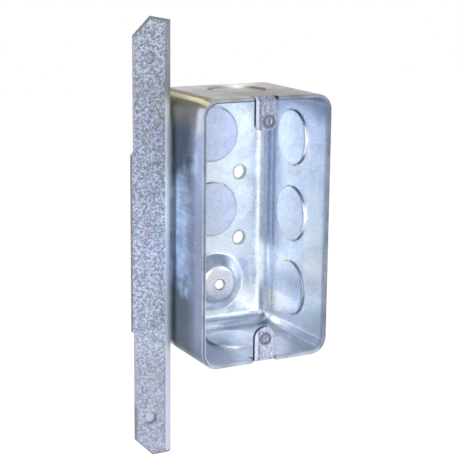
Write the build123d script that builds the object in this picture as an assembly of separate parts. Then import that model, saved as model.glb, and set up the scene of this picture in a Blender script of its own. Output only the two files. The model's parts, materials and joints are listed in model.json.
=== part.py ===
from build123d import *
import os
from math import atan2, tan

# One-gang handy box with a welded side bracket, in millimetres.
# X runs to the right, Y runs into the box and Z runs up.
# The origin is the centre of the open mouth, midway between the two device screw holes.

# Drawn box
BOX_WIDTH = 54.0  # 2 1/8 in outside
BOX_HEIGHT = 101.6  # 4 in outside
BOX_DEPTH = 47.6  # 1 7/8 in outside
BOX_WALL = 1.6  # sheet thickness
CORNER_RADIUS = 6.5  # outside radius of the four corners and of the turn into the back
RIM_BREAK = 0.3  # broken edge round the mouth

# Device ears, folded in from the top and bottom walls
EAR_SPAN = 83.3  # 3 9/32 in between the two device screws
EAR_WIDTH = 8.4
TOP_EAR_ASIDE = -1.2  # from the screw line to the middle of the upper ear
BOTTOM_EAR_ASIDE = -0.4  # the same for the lower ear
TOP_EAR_TIP = 3.2  # from the screw to the free end of the upper ear
TOP_EAR_CORNER = 2.3  # radius of the corners at that end
BOTTOM_EAR_TIP = 4.6  # the same for the lower ear, whose end is fully round
BOTTOM_EAR_CORNER = 4.4
EAR_BEND = 0.8  # inside radius of the fold
EAR_SLIT = 0.9  # relief cut on each side of an ear
EAR_SLIT_DEPTH = 3.6  # how far that cut runs back from the rim
DEVICE_HOLE = 3.5  # tapped hole for the device screw, at its outer thread diameter

# Knockouts for half-inch conduit
KNOCKOUT = 22.2  # 7/8 in hole when the slug is out
KNOCKOUT_PITCH = 30.6  # between neighbouring knockouts
KNOCKOUT_SETBACK = 25.8  # from the rim to the line of centres
SLUG_STEP = 0.7  # how far a slug is pushed inwards
SLUG_GAP = 0.25  # sheared gap round a slug
SLUG_TIE = 3.0  # width of the two ties that hold a slug
TIE_ROOT = 1.0  # how far a tie is drawn into the wall it grows from

# Back wall
MOUNT_HOLE = 5.2  # screw holes in the back
MOUNT_ROWS = 27.3  # between their two heights
MOUNT_COLUMNS = 25.0  # between their two columns
MOUNT_RISE = 0.7  # their middle lies this far above the middle of the box
BOSS_RISE = 4.5  # height of the pressed ground boss above the back wall
BOSS_BASE = 24.0  # diameter at its foot
BOSS_FACE = 14.4  # diameter of its flat face
BOSS_BEND = 1.0  # inside radius of the bends at its foot and face
BOSS_BRIM = 0.3  # flat ring left round its foot bend
BOSS_SHIFT = 1.6  # its axis lies this far to the right of the middle of the box
GROUND_HOLE = 4.8  # tapped hole for the ground screw, at its outer thread diameter

# Side bracket
BRACKET_SHEET = 1.6
BRACKET_LENGTH = 170.6
BRACKET_DROP = 6.1  # its middle lies this far below the middle of the box
BRACKET_SETBACK = 25.4  # from the rim to the front of the flange
BRACKET_BEND = 1.4  # inside radius of the long fold
FLANGE_REACH = 15.8  # from the box wall to the outer edge of the flange at its trimmed ends
FLANGE_WIDE = 16.9  # the same at its untrimmed middle
WIDE_LENGTH = 68.4  # length of that middle
WIDE_RAMP = 1.0  # slope from the trimmed edge to the untrimmed one
LEG_DEPTH = 17.0  # from the front of the flange to the rear edge of the welded leg
CORNER_CUT = 7.0  # legs of the cut-off outer corners
END_FALL = 1.6  # the top end is cut this much out of square
NAIL_START = 4.4  # half-pierced nail starts near both ends
NAIL_SPAN = 140.0  # between the two
NAIL_LINE = 9.6  # from the box wall to their line
NAIL_STEP = 0.8  # how far they are pushed back
WELD_PITCH = 24.0  # between neighbouring spot welds on the leg
WELD_MARK = 5.0  # round dent that the electrode leaves
WELD_DENT = 0.3  # its depth

SPARE = 1.0  # cutters run past the sheet by this much

ON_FACE = (Align.CENTER, Align.CENTER, Align.MIN)
INNER_Y = BOX_DEPTH - BOX_WALL
SIDE_X = BOX_WIDTH / 2
END_Z = BOX_HEIGHT / 2


def drawn_shell():
    """Box with an even wall, round corners and an open front."""
    outside = extrude(Plane.XZ * RectangleRounded(BOX_WIDTH, BOX_HEIGHT, CORNER_RADIUS), -BOX_DEPTH)
    outside = fillet(outside.faces().sort_by(Axis.Y)[-1].edges(), CORNER_RADIUS)
    hollow = RectangleRounded(
        BOX_WIDTH - 2 * BOX_WALL, BOX_HEIGHT - 2 * BOX_WALL, CORNER_RADIUS - BOX_WALL
    )
    inside = extrude(Plane.XZ * hollow, -INNER_Y)
    inside = fillet(inside.faces().sort_by(Axis.Y)[-1].edges(), CORNER_RADIUS - BOX_WALL)
    shell = outside - inside
    return chamfer(shell.faces().sort_by(Axis.Y)[0].edges(), RIM_BREAK)


def folded_strip(line, sheet, inside_radius):
    """Section of a folded sheet: its middle line with rounded bends, drawn at the sheet's thickness."""
    return trace(FilletPolyline(*line, radius=inside_radius + sheet / 2), sheet)


def top_ear(past_screw, corner_radius, aside):
    """Tab of the top wall, folded down into the mouth a little aside of its screw, with round free corners."""
    screw_z = EAR_SPAN / 2
    middle = BOX_WALL / 2
    tip_z = screw_z - past_screw
    line = [(EAR_SLIT_DEPTH, END_Z - middle), (middle, END_Z - middle), (middle, tip_z)]
    strip = extrude(Plane.YZ * folded_strip(line, BOX_WALL, EAR_BEND), EAR_WIDTH / 2, both=True)
    outline = Pos(0, (END_Z + tip_z) / 2) * Rectangle(EAR_WIDTH, END_Z - tip_z)
    free_corners = outline.vertices().sort_by(Axis.Y)[:2]
    outline = fillet(free_corners, min(corner_radius, 0.49 * EAR_WIDTH))
    ear = Pos(aside, 0, 0) * (strip & extrude(Plane.XZ * outline, -EAR_SLIT_DEPTH))
    hole = Plane.XZ * Pos(0, screw_z) * Circle(DEVICE_HOLE / 2)
    return ear - extrude(hole, -BOX_WALL - SPARE)


def top_ear_notch():
    """Room for the fold of the top ear, with a relief slit on each side of it."""
    fold = EAR_BEND + BOX_WALL
    height = BOX_WALL + SPARE
    rise = Pos(0, 0, END_Z - BOX_WALL)
    align = (Align.CENTER, Align.MIN, Align.MIN)
    notch = rise * Box(EAR_WIDTH, fold, height, align=align)
    slit = rise * Box(EAR_SLIT, EAR_SLIT_DEPTH, height, align=align)
    slit_x = (EAR_WIDTH + EAR_SLIT) / 2
    return notch + Pos(slit_x, 0, 0) * slit + Pos(-slit_x, 0, 0) * slit


def knock_out(shell, centre, inward, tie_direction):
    """Shear a round slug from a wall, push it in by its step and leave it on two ties."""
    wall = Plane(origin=centre, x_dir=tie_direction, z_dir=inward)
    hole = wall * Pos(0, 0, -SPARE) * Cylinder(KNOCKOUT / 2, BOX_WALL + 2 * SPARE, align=ON_FACE)
    stepped = wall * Pos(0, 0, SLUG_STEP)
    slug = stepped * Cylinder(KNOCKOUT / 2 - SLUG_GAP, BOX_WALL, align=ON_FACE)
    tie = stepped * Box(KNOCKOUT + 2 * TIE_ROOT, SLUG_TIE, BOX_WALL - SLUG_STEP, align=ON_FACE)
    return shell - hole + slug + tie


def ground_boss():
    """Hat of even sheet thickness, turned about the boss axis, with its foot on the inside of the back wall."""
    foot = BOSS_BASE / 2
    face = BOSS_FACE / 2
    half_turn = tan(atan2(BOSS_RISE, foot - face) / 2)
    narrow = BOX_WALL * half_turn
    skirt = foot + (BOSS_BEND + BOX_WALL) * half_turn + BOSS_BRIM
    corners = [
        (0, BOSS_RISE),
        (face, BOSS_RISE),
        (foot, 0),
        (skirt, 0),
        (skirt, -BOX_WALL),
        (foot - narrow, -BOX_WALL),
        (face - narrow, BOSS_RISE - BOX_WALL),
        (0, BOSS_RISE - BOX_WALL),
    ]
    section = make_face(Polyline(*corners, close=True))
    wide = BOSS_BEND + BOX_WALL
    for corner, radius in ((1, wide), (2, BOSS_BEND), (5, wide), (6, BOSS_BEND)):
        bend = section.vertices().sort_by_distance(corners[corner])[0]
        section = fillet(bend, radius)
    boss_z = -KNOCKOUT_PITCH
    seat = Plane(origin=(BOSS_SHIFT, INNER_Y, boss_z), x_dir=(1, 0, 0), z_dir=(0, 0, -1))
    axis = Axis((BOSS_SHIFT, INNER_Y, boss_z), (0, 1, 0))
    hat = revolve(seat * section, axis=axis)
    through = Plane(origin=(BOSS_SHIFT, BOX_DEPTH + SPARE, boss_z), z_dir=(0, -1, 0))
    opening = through * Cylinder(skirt, BOX_WALL + 2 * SPARE, align=ON_FACE)
    hole = through * Cylinder(GROUND_HOLE / 2, BOX_DEPTH, align=ON_FACE)
    return opening, hat - hole


def make_box_shell():
    shell = drawn_shell()
    notch = top_ear_notch()
    shell -= Pos(TOP_EAR_ASIDE, 0, 0) * notch
    shell -= Pos(BOTTOM_EAR_ASIDE, 0, 0) * mirror(notch, about=Plane.XY)
    shell += top_ear(TOP_EAR_TIP, TOP_EAR_CORNER, TOP_EAR_ASIDE)
    bottom_ear = top_ear(BOTTOM_EAR_TIP, BOTTOM_EAR_CORNER, BOTTOM_EAR_ASIDE)
    shell += mirror(bottom_ear, about=Plane.XY)

    opening, boss = ground_boss()
    shell = shell - opening + boss
    for x in (-MOUNT_COLUMNS / 2, MOUNT_COLUMNS / 2):
        for z in (MOUNT_RISE - MOUNT_ROWS / 2, MOUNT_RISE + MOUNT_ROWS / 2):
            screw_hole = Plane(origin=(x, INNER_Y - SPARE, z), z_dir=(0, 1, 0))
            shell -= screw_hole * Cylinder(MOUNT_HOLE / 2, BOX_WALL + 2 * SPARE, align=ON_FACE)

    for row in (-1, 0, 1):
        right_wall = (SIDE_X, KNOCKOUT_SETBACK, row * KNOCKOUT_PITCH)
        shell = knock_out(shell, right_wall, inward=(-1, 0, 0), tie_direction=(0, 1, 0))
    for row in (0, 1):
        back_wall = (0, BOX_DEPTH, row * KNOCKOUT_PITCH)
        shell = knock_out(shell, back_wall, inward=(0, -1, 0), tie_direction=(1, 0, 1))
    for end in (-1, 1):
        end_wall = (0, KNOCKOUT_SETBACK, end * END_Z)
        shell = knock_out(shell, end_wall, inward=(0, 0, -end), tie_direction=(1, 0, 0))
    return shell


def make_mounting_bracket():
    middle = BRACKET_SHEET / 2
    wall_x = -SIDE_X
    outer_x = wall_x - FLANGE_REACH
    front_y = BRACKET_SETBACK
    centre_z = -BRACKET_DROP
    bottom_z = centre_z - BRACKET_LENGTH / 2
    top_z = centre_z + BRACKET_LENGTH / 2

    # The long fold has the flange on its left and the welded leg behind it
    wide_x = wall_x - FLANGE_WIDE
    fold = [(wall_x - middle, front_y + middle), (wall_x - middle, front_y + LEG_DEPTH)]
    angle = folded_strip([(wide_x, front_y + middle), *fold], BRACKET_SHEET, BRACKET_BEND)
    bracket = Pos(0, 0, bottom_z) * extrude(angle, BRACKET_LENGTH)

    # Both ends are trimmed a little narrower than the middle, through the folded strip in one go
    wide_bottom = centre_z - WIDE_LENGTH / 2
    wide_top = centre_z + WIDE_LENGTH / 2
    blank = make_face(
        Polyline(
            (outer_x, bottom_z + CORNER_CUT),
            (outer_x + CORNER_CUT, bottom_z),
            (wall_x, bottom_z),
            (wall_x, top_z - END_FALL),
            (outer_x + CORNER_CUT, top_z),
            (outer_x, top_z - CORNER_CUT),
            (outer_x, wide_top + WIDE_RAMP),
            (wide_x, wide_top),
            (wide_x, wide_bottom),
            (outer_x, wide_bottom - WIDE_RAMP),
            close=True,
        )
    )
    bracket = bracket & (Pos(0, front_y, 0) * extrude(Plane.XZ * blank, -LEG_DEPTH))

    for end in (-1, 1):
        start = Plane(
            origin=(wall_x - NAIL_LINE, front_y, centre_z + end * NAIL_SPAN / 2), z_dir=(0, 1, 0)
        )
        dent = start * Cylinder(NAIL_START / 2, NAIL_STEP, align=ON_FACE)
        button = start * Pos(0, 0, BRACKET_SHEET) * Cylinder(NAIL_START / 2, NAIL_STEP, align=ON_FACE)
        bracket = bracket - dent + button

    weld_y = front_y + (LEG_DEPTH + BRACKET_BEND + BRACKET_SHEET) / 2
    for row in (-1, 0, 1):
        weld = Plane(origin=(wall_x - BRACKET_SHEET, weld_y, row * WELD_PITCH), z_dir=(1, 0, 0))
        bracket -= weld * Cylinder(WELD_MARK / 2, WELD_DENT, align=ON_FACE)
    return bracket


os.makedirs("parts", exist_ok=True)
export_step(make_box_shell(), "parts/box_shell.step")
export_step(make_mounting_bracket(), "parts/mounting_bracket.step")
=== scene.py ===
# %% [markdown]
# # A steel handy box with a side bracket
# The frame brings two solids in metres: the drawn box and the folded bracket.
# This lesson gives them their zinc finishes, cuts threads into the tapped holes and sets up a plain studio.

# %% Open the frame
import json

import bpy
import numpy as np
from mathutils import Matrix, Vector


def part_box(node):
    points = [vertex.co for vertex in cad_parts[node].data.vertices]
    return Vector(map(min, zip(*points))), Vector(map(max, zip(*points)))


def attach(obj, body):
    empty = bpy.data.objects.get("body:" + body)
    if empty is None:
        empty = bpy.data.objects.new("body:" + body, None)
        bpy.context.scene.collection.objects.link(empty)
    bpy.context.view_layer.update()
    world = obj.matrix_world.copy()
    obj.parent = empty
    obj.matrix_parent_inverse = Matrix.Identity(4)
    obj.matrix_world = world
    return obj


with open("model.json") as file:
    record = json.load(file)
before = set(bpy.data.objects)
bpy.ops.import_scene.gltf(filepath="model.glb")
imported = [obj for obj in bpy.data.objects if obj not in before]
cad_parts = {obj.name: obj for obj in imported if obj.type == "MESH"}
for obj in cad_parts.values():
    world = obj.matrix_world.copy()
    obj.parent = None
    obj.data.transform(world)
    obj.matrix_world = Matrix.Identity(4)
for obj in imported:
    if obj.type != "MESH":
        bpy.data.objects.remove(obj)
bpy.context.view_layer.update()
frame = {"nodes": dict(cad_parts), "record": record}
MM = 0.001
print("nodes:", sorted(frame["nodes"]))

# %% [markdown]
# ## Sizes from the frame
# A finish follows the shape: a dark ring belongs to a hole and a bright line to a bend.
# Their places could be typed in again, but then a change in the drawing would leave them behind.
# So they are read from the frame: the extent of a solid, and the mounts,
# which say where holes lie and how wide they are.

# %% Read sizes
def to_millimetres(metres):
    """Three lengths in millimetres, rounded to a thousandth."""
    return [round(length / MM, 3) for length in metres]


def mount_sizes(name):
    """The place of one of the part's mounts in millimetres, and its named sizes."""
    mount = next(mount for mount in frame["record"]["mounts"] if mount["name"] == name)
    return to_millimetres(mount["pos_m"]), mount["dims"]


BOX_HIGH = to_millimetres(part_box("box_shell")[1])
BRACKET_LOW, BRACKET_HIGH = (to_millimetres(corner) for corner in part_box("mounting_bracket"))
print("box up to", BOX_HIGH, "and bracket from", BRACKET_LOW, "to", BRACKET_HIGH)

# %% [markdown]
# ## The camera
# The picture was taken from the left and a little above, with a fairly long lens.
# A camera can be placed by hand, but angles are easier to read and to change,
# so it is set by an azimuth, an elevation, a roll and a distance from a point inside the box.

# %% Place the camera
AZIMUTH, ELEVATION, ROLL = np.radians([-27.689, 12.802, 0.562])
DISTANCE = 520.43 * MM
TARGET = Vector((-5.290, 20.0, -2.772)) * MM
FOCAL_PIXELS = 1350.6
IMAGE_PIXELS = 460
SENSOR = 36.0


def camera_turn(azimuth, elevation, roll):
    """Three axes of a camera: back from two angles, right along the horizon, up from both, then the roll."""
    level = np.cos(elevation)
    back = Vector((np.sin(azimuth) * level, -np.cos(azimuth) * level, np.sin(elevation)))
    right = Vector((np.cos(azimuth), np.sin(azimuth), 0.0))
    up = back.cross(right)
    rolled_right = right * np.cos(roll) + up * np.sin(roll)
    rolled_up = up * np.cos(roll) - right * np.sin(roll)
    return Matrix((rolled_right, rolled_up, back)).transposed()


lens = bpy.data.cameras.new("camera")
lens.sensor_width = SENSOR
lens.lens = SENSOR * FOCAL_PIXELS / IMAGE_PIXELS
turn = camera_turn(AZIMUTH, ELEVATION, ROLL)
camera = bpy.data.objects.new("camera", lens)
camera.matrix_world = Matrix.Translation(TARGET + turn.col[2] * DISTANCE) @ turn.to_4x4()
bpy.context.scene.collection.objects.link(camera)
bpy.context.scene.camera = camera
print("lens %.1f mm" % lens.lens)

# %% [markdown]
# ## Helpers for wiring nodes
# A finish is a sum of simple steps, and in Blender each step is a node.
# Nodes can be wired one by one in the editor. In code, a few short helpers keep the wiring readable:
# each one adds a node, sets or links its inputs and hands back the output.

# %% Wiring helpers
def feed(tree, socket, value):
    """Link a socket to another node's output, or set it to a plain value."""
    if isinstance(value, bpy.types.NodeSocket):
        tree.links.new(value, socket)
    elif isinstance(value, tuple) and len(value) == 3 and socket.type == "RGBA":
        socket.default_value = (*value, 1.0)
    else:
        socket.default_value = value


def add(tree, kind, inputs=(), **settings):
    """Add a node of one kind, with its settings and with (socket, value) pairs for its inputs."""
    made = tree.nodes.new(kind)
    for name, value in settings.items():
        setattr(made, name, value)
    for key, value in inputs:
        feed(tree, made.inputs[key], value)
    return made


def maths(tree, operation, *values):
    """One arithmetic step on plain numbers."""
    return add(tree, "ShaderNodeMath", enumerate(values), operation=operation).outputs[0]


def vector_maths(tree, operation, *values):
    """One arithmetic step on vectors; a length comes back as a plain number."""
    made = add(tree, "ShaderNodeVectorMath", enumerate(values), operation=operation)
    return made.outputs["Value" if operation == "LENGTH" else "Vector"]


def split(tree, vector):
    """The three numbers of a vector."""
    return add(tree, "ShaderNodeSeparateXYZ", [(0, vector)]).outputs


print("wiring helpers ready")

# %% [markdown]
# ## Helpers for masks
# A mask is a number from 0 to 1 that says how much of a finish lies at a place,
# like a stencil with soft edges. It could be painted by hand on an unwrapped surface.
# Soft steps along a measured distance need no unwrapping, and they can be multiplied and joined.

# %% Mask helpers
def fade(tree, value, start, end):
    """A soft step: 0 at the start value, 1 at the end value."""
    pairs = [("Value", value), ("From Min", start), ("From Max", end)]
    return add(tree, "ShaderNodeMapRange", pairs, interpolation_type="SMOOTHSTEP").outputs[0]


def distance(tree, value, centre):
    """How far a value lies from a centre value, without a sign."""
    return maths(tree, "ABSOLUTE", maths(tree, "SUBTRACT", value, centre))


def line(tree, value, centre, inner, outer):
    """1 within the inner distance of a centre value, and 0 beyond the outer distance."""
    return fade(tree, distance(tree, value, centre), outer, inner)


def both(tree, *masks):
    """Where all of the masks are 1: their product."""
    result = masks[0]
    for mask in masks[1:]:
        result = maths(tree, "MULTIPLY", result, mask)
    return result


def either(tree, *masks):
    """Where any of the masks is 1: the largest of them."""
    result = masks[0]
    for mask in masks[1:]:
        result = maths(tree, "MAXIMUM", result, mask)
    return result


def without(tree, mask):
    """The mask turned round: 1 where it was 0."""
    return maths(tree, "SUBTRACT", 1.0, mask)


def changed(tree, level, change, mask):
    """A level plus a change that counts as far as the mask says."""
    return maths(tree, "MULTIPLY_ADD", mask, change, level)


print("mask helpers ready")

# %% [markdown]
# ## Helpers for colours
# A painter lays thin coats over each other, each one only where it is wanted and only so strong.
# Here a coat is a mask, a share and a tone, and the coats are mixed in their order.
# Light and shade are a factor on the colour that is already there.

# %% Colour helpers
def mixed(tree, share, first, second):
    """A colour that goes from the first to the second with the share."""
    made = add(tree, "ShaderNodeMix", data_type="RGBA")
    feed(tree, made.inputs["Factor"], share)
    feed(tree, made.inputs[6], first)
    feed(tree, made.inputs[7], second)
    return made.outputs[2]


def painted(tree, colour, *coats):
    """A colour with coats laid over it in order, each one a mask, a share and a tone."""
    for mask, share, tone in coats:
        colour = mixed(tree, both(tree, mask, share), colour, tone)
    return colour


def scaled(tree, colour, factor):
    """A colour made darker or lighter by a factor."""
    pairs = [(0, colour), ("Scale", factor)]
    return add(tree, "ShaderNodeVectorMath", pairs, operation="SCALE").outputs["Vector"]


def lifted(tree, colour, *lifts):
    """A colour made lighter by a part of itself where a mask is 1; a part below zero makes it darker."""
    for mask, part in lifts:
        colour = scaled(tree, colour, changed(tree, 1.0, part, mask))
    return colour


print("colour helpers ready")

# %% [markdown]
# ## Helpers for patterns
# Metal shows clouds, single grains and streaks. A picture of them would have to be wrapped round the part.
# These patterns are read from the object's own coordinates instead, so they go through edges without a seam
# and keep their real size.

# %% Pattern helpers
def noise(tree, place, size, detail=2.0, roughness=0.5):
    """Cloudy noise whose lumps are about as large as the size, in metres."""
    pairs = [("Vector", place), ("Scale", 1.0 / size), ("Detail", detail), ("Roughness", roughness)]
    return add(tree, "ShaderNodeTexNoise", pairs).outputs[0]


def grains(tree, place, size):
    """One random tone from 0 to 1 for each grain of about the size, in metres."""
    pairs = [("Vector", place), ("Scale", 1.0 / size)]
    return split(tree, add(tree, "ShaderNodeTexVoronoi", pairs).outputs["Color"])[0]


def stretched(tree, place, factors):
    """The same place with each axis scaled, which draws noise out into streaks."""
    return vector_maths(tree, "MULTIPLY", place, factors)


def in_millimetres(tree, place):
    """The place in millimetres."""
    return stretched(tree, place, (1.0 / MM, 1.0 / MM, 1.0 / MM))


def from_nearest(tree, value, pitch):
    """How far a value lies past the nearest whole pitch, with its sign."""
    nearest = maths(tree, "ROUND", maths(tree, "DIVIDE", value, pitch))
    return maths(tree, "SUBTRACT", value, maths(tree, "MULTIPLY", nearest, pitch))


def radius_about(tree, first, second, centre=(0.0, 0.0)):
    """Distance from an axis, from two coordinates and the axis's place in them."""
    along = maths(tree, "SUBTRACT", first, centre[0])
    across = maths(tree, "SUBTRACT", second, centre[1])
    return maths(tree, "SQRT", maths(tree, "ADD", both(tree, along, along), both(tree, across, across)))


print("pattern helpers ready")

# %% [markdown]
# ## Helpers for a material
# Every finish on the part is one shader: its metal share is a constant,
# and its colour, roughness and bump come from nodes.
# Bump stands for grit that is too fine to model, so it gets a real depth in metres.

# %% Material helpers
def finish_material(name, metallic):
    """A new material with its tree, its shader and the object's own coordinates."""
    made = bpy.data.materials.new(name)
    made.use_nodes = True
    tree = made.node_tree
    shader = tree.nodes["Principled BSDF"]
    shader.inputs["Metallic"].default_value = metallic
    place = add(tree, "ShaderNodeTexCoord").outputs["Object"]
    return made, tree, shader, place


def coat(tree, shader, colour, rough, height, strength, depth):
    """Feed the shader's colour and roughness, and its bump from a height pattern with a depth in metres."""
    pairs = [("Height", height), ("Strength", strength), ("Distance", depth)]
    feed(tree, shader.inputs["Base Color"], colour)
    feed(tree, shader.inputs["Roughness"], rough)
    feed(tree, shader.inputs["Normal"], add(tree, "ShaderNodeBump", pairs).outputs[0])


print("material helpers ready")

# %% [markdown]
# ## Bracket zinc: the speckle
# The bracket is cut from dull galvanised strip, whose zinc has frozen in small light and dark grains.
# A photograph of such a sheet could be wrapped round it, but it would repeat and smear on the edges.
# Random cells about a millimetre wide, broken up by cloudy noise, give the same speckle on every face.

# %% Bracket speckle
CELL_SHARE = 0.24
bracket_zinc, tree, shader, place = finish_material("bracket_zinc", metallic=0.35)
x, y, z = split(tree, in_millimetres(tree, place))
cloud = noise(tree, place, 0.9 * MM, detail=3.0, roughness=0.65)
cell = grains(tree, place, 0.7 * MM)
speckle = changed(tree, both(tree, cloud, 1.0 - CELL_SHARE), CELL_SHARE, cell)
light_share = fade(tree, speckle, 0.36, 0.67)
calm = changed(tree, 1.0, -0.25, fade(tree, z, -38.0, -50.0))
light_share = changed(tree, 0.5, calm, maths(tree, "SUBTRACT", light_share, 0.5))
# Painted light: the grains get lighter towards the bottom end of the bracket.
lighter_below = fade(tree, z, 60.0, -40.0)
dark_grain = mixed(tree, lighter_below, (0.20, 0.22, 0.275), (0.27, 0.30, 0.40))
light_grain = mixed(tree, lighter_below, (0.55, 0.59, 0.72), (0.69, 0.745, 0.90))
colour = mixed(tree, light_share, dark_grain, light_grain)
print("speckle on", bracket_zinc.name)

# %% [markdown]
# ## Bracket zinc: wider tints
# Over longer stretches the strip isn't even. It has faint warm and cool clouds,
# and painted light makes the part beside the box lightest and the upper end lighter than the lower one.
# Painting over the grains would hide them, so a tint is multiplied with them.

# %% Bracket tints
tint_share = fade(tree, noise(tree, place, 5.0 * MM), 0.38, 0.62)
tint = mixed(tree, tint_share, (1.03, 0.99, 1.06), (0.95, 1.01, 0.97))
colour = vector_maths(tree, "MULTIPLY", colour, tint)
# Painted light: lighter beside the box and at the upper end than at the lower end.
beside_box = fade(tree, maths(tree, "ABSOLUTE", z), 56.0, 46.0)
upper_end = fade(tree, z, 50.0, 58.0)
level = changed(tree, changed(tree, 0.84, 0.20, upper_end), 0.25, beside_box)
colour = scaled(tree, colour, level)
print("tints on", bracket_zinc.name)

# %% [markdown]
# ## Bracket zinc: bend and sheared edges
# Folding has smoothed the grains along the bend; painted light and shade make it dark above the box and
# bright beside it and below.
# Shears have left bare edges, whose tones are partly painted light and shade. Both follow from the drawing
# of the bracket, so distances from its outline pick them out, and no edge has to be selected by hand.

# %% Bracket bend
BEND_START = -30.6
bend = both(tree, fade(tree, x, BEND_START, BEND_START + 0.7), fade(tree, y, 30.5, 28.0))
lower_end = fade(tree, z, -46.0, -54.0)
# Painted highlight and shade on the bend: dark above the box, bright beside it, a little less bright lower
# down.
bend_light_and_shade = mixed(tree, fade(tree, z, 52.0, 44.0), (0.22, 0.235, 0.29), (0.88, 0.97, 1.0))
bend_light_and_shade = mixed(tree, fade(tree, z, 4.0, -10.0), bend_light_and_shade, (0.66, 0.76, 0.88))
bend_light_and_shade = mixed(tree, lower_end, bend_light_and_shade, (0.62, 0.67, 0.80))
colour = painted(tree, colour, (bend, 0.85, bend_light_and_shade))
print("bend from x =", BEND_START)

# %% [markdown]
# The flange is trimmed a little narrower towards both ends, and its top end is cut out of square.
# Each kind of edge face gets a tone of its own, painted as light and shade: a dark untouched edge along the
# wide middle, lighter trimmed edges and two dark ends.

# %% Bracket edge faces
BRACKET_MIDDLE = (BRACKET_LOW[2] + BRACKET_HIGH[2]) / 2
HALF_LENGTH = (BRACKET_HIGH[2] - BRACKET_LOW[2]) / 2
OUTER_EDGE = BRACKET_LOW[0]
TRIMMED_EDGE = OUTER_EDGE + 1.1
WIDE_HALF = 35.2
END_SLOPE = 0.1
from_middle = distance(tree, z, BRACKET_MIDDLE)
inwards = maths(tree, "SUBTRACT", x, OUTER_EDGE)
upper_half = fade(tree, z, -1.0, 1.0)
wide_edge = fade(tree, x, OUTER_EDGE + 0.20, OUTER_EDGE + 0.05)
end_edge = fade(tree, x, TRIMMED_EDGE + 0.14, TRIMMED_EDGE + 0.04)
end_edge = both(tree, end_edge, fade(tree, from_middle, WIDE_HALF + 0.2, WIDE_HALF + 0.8))
end_face = fade(tree, changed(tree, from_middle, END_SLOPE, inwards), HALF_LENGTH - 0.41, HALF_LENGTH - 0.11)
square_end = fade(tree, from_middle, HALF_LENGTH - 0.3, HALF_LENGTH - 0.1)
end_face = both(tree, end_face, either(tree, upper_half, square_end))
# Painted shade on the wide edge and both ends, painted light on the trimmed edges.
colour = painted(
    tree,
    colour,
    (wide_edge, 0.75, (0.20, 0.22, 0.27)),
    (end_edge, 0.5, (0.62, 0.66, 0.76)),
    (end_face, 0.6, (0.20, 0.20, 0.22)),
)
print("edges of a bracket that is", 2 * HALF_LENGTH, "mm long")

# %% [markdown]
# The outer corners are cut off at 45 degrees. Beside these cuts and the two ends runs a narrow dark band,
# where the shears have pulled at the zinc, deepened by painted shade. At the slanted top the band is wedge
# shaped.

# %% Bracket shear bands
CORNER_CUT = 7.0
CUT_LINE = HALF_LENGTH - TRIMMED_EDGE - CORNER_CUT
BAND_SLOPE = 0.2
lower_half = fade(tree, z, 1.0, -1.0)
slanted = changed(tree, from_middle, BAND_SLOPE, inwards)
top_band = fade(tree, slanted, HALF_LENGTH + 0.28, HALF_LENGTH + 1.08)
bottom_band = fade(tree, from_middle, HALF_LENGTH - 1.1, HALF_LENGTH - 0.4)
corner_band = fade(tree, maths(tree, "SUBTRACT", from_middle, x), CUT_LINE - 1.1, CUT_LINE - 0.4)
left_band = both(tree, fade(tree, x, TRIMMED_EDGE + 0.8, TRIMMED_EDGE + 0.3), fade(tree, z, -68.0, -72.0))
end_bands = either(tree, both(tree, upper_half, top_band), both(tree, lower_half, bottom_band))
# Painted shade: a dark line along the lower end of the bend.
bend_shade_line = both(tree, line(tree, x, BEND_START, 0.1, 0.5), lower_end, fade(tree, y, 27.5, 26.5))
colour = painted(
    tree,
    colour,
    (either(tree, end_bands, corner_band, left_band), 0.65, (0.16, 0.165, 0.19)),
    (bend_shade_line, 0.5, (0.26, 0.28, 0.38)),
)
print("shear bands round corners cut by", CORNER_CUT, "mm")

# %% [markdown]
# ## Bracket zinc: nail marks and welds
# A punch has set two round nail marks into the flange, and each spot weld has a halo of heat colours
# round its dent. Marks and dents are in the solid already. Painted shadow fills one side of a ring round
# each mark, the upper mark's floor is painted darker than the lower one's, and rings of tone add the straw
# and blue that heat leaves on steel.

# %% Bracket nail marks
NAIL_PLACE, NAIL_SIZES = mount_sizes("nail_starts")
NAIL_X = NAIL_PLACE[0]
NAIL_HALF_SPAN = NAIL_SIZES["spacing_y_mm"] / 2
from_nail = radius_about(tree, x, from_middle, (NAIL_X, NAIL_HALF_SPAN))
nail = fade(tree, from_nail, 2.3, 1.8)
nail_share = changed(tree, 0.75, -0.15, upper_half)
nail_floor_light_and_shade = mixed(tree, upper_half, (0.60, 0.63, 0.76), (0.36, 0.365, 0.40))
past_nail = maths(tree, "SUBTRACT", maths(tree, "ADD", x, from_middle), NAIL_X + NAIL_HALF_SPAN)
nail_shadow_ring = both(tree, line(tree, from_nail, 2.4, 0.2, 0.9), fade(tree, past_nail, -2.5, 1.0))
ring_share = changed(tree, 0.6, -0.35, upper_half)
# Painted light and shade in the nail marks: a darker upper floor and a painted shadow ring on one side.
colour = painted(tree, colour, (nail, nail_share, nail_floor_light_and_shade), (nail_shadow_ring, ring_share, (0.17, 0.18, 0.24)))
print("nail marks", 2 * NAIL_HALF_SPAN, "mm apart")

# %% [markdown]
# The welds lie on the leg of the bracket, one pitch apart,
# so one ring formula that repeats along the height serves all three.

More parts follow.
